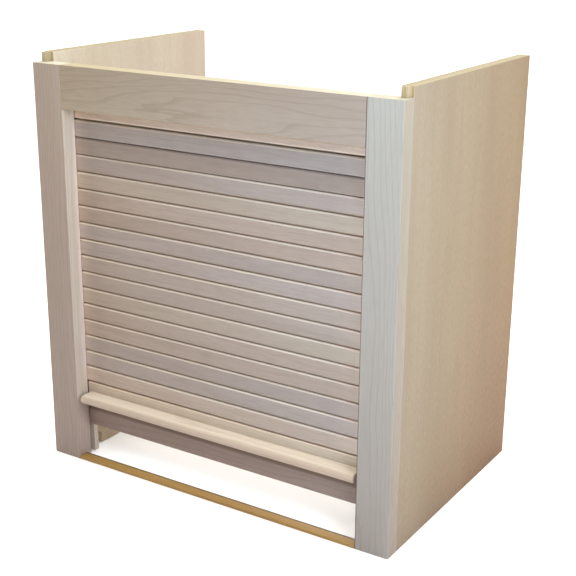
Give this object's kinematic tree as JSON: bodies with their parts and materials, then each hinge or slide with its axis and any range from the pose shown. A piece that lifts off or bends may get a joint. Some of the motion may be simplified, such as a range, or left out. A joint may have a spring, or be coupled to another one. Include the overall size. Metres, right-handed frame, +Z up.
{
  "type": "appliance garage",
  "caption": "Straight kitchen appliance garage in unfinished maple: face frame, two side panels and a slatted roll-up tambour door that winds into a coil behind the top rail",
  "frame": {"origin": "on the countertop, in the middle of the plan", "axes": "+X to the right seen from the front, +Y back towards the wall, +Z up"},
  "size_m": [0.4444, 0.2922, 0.4672],
  "materials": {
    "maple": "sanded, unfinished",
    "maple_slat": "sanded, unfinished",
    "maple_veneer": "sanded veneer, unfinished",
    "sill_wood": "planed, golden",
    "beech": "turned",
    "pine": "sawn",
    "birch_ply": "routed plywood",
    "canvas": "plain-weave cotton duck",
    "zinc_steel": "zinc plated"
  },
  "bodies": {
    "carcass": {"left_stile": "maple", "right_stile": "maple", "top_rail": "maple", "sill_strip": "sill_wood", "frame_dowels": "beech", "left_side_panel": "maple_veneer", "right_side_panel": "maple_veneer", "left_cleat": "pine", "right_cleat": "pine", "cleat_screws": "zinc_steel", "left_track": "maple", "right_track": "maple", "track_screws": "zinc_steel", "left_coil_guide": "birch_ply", "right_coil_guide": "birch_ply", "coil_guide_screws": "zinc_steel"},
    "tambour": {"lead_bar": "maple", "canvas_batten": "maple", "batten_screws": "zinc_steel", "pull_moulding": "maple", "pull_screws": "zinc_steel", "guide_pins": "zinc_steel", "canvas_backing": "canvas", "slat_01": "maple_slat", "slat_02": "maple_slat", "slat_03": "maple_slat", "slat_04": "maple_slat", "slat_05": "maple_slat", "slat_06": "maple_slat", "slat_07": "maple_slat", "slat_08": "maple_slat", "slat_09": "maple_slat", "slat_10": "maple_slat", "slat_11": "maple_slat", "slat_12": "maple_slat", "slat_13": "maple_slat", "slat_14": "maple_slat", "slat_15": "maple_slat", "slat_16": "maple_slat", "slat_17": "maple_slat", "slat_18": "maple_slat", "slat_19": "maple_slat"}
  },
  "joints": [
    {"name": "tambour_lift", "type": "slide", "parent": "carcass", "child": "tambour", "axis": [0, 0, 1], "range_m": [-0.0375, 0.305], "deforming": ["canvas_backing", "slat_01", "slat_02", "slat_03", "slat_04", "slat_05", "slat_06", "slat_07", "slat_08", "slat_09", "slat_10", "slat_11", "slat_12", "slat_13", "slat_14", "slat_15", "slat_16", "slat_17", "slat_18", "slat_19"]}
  ]
}
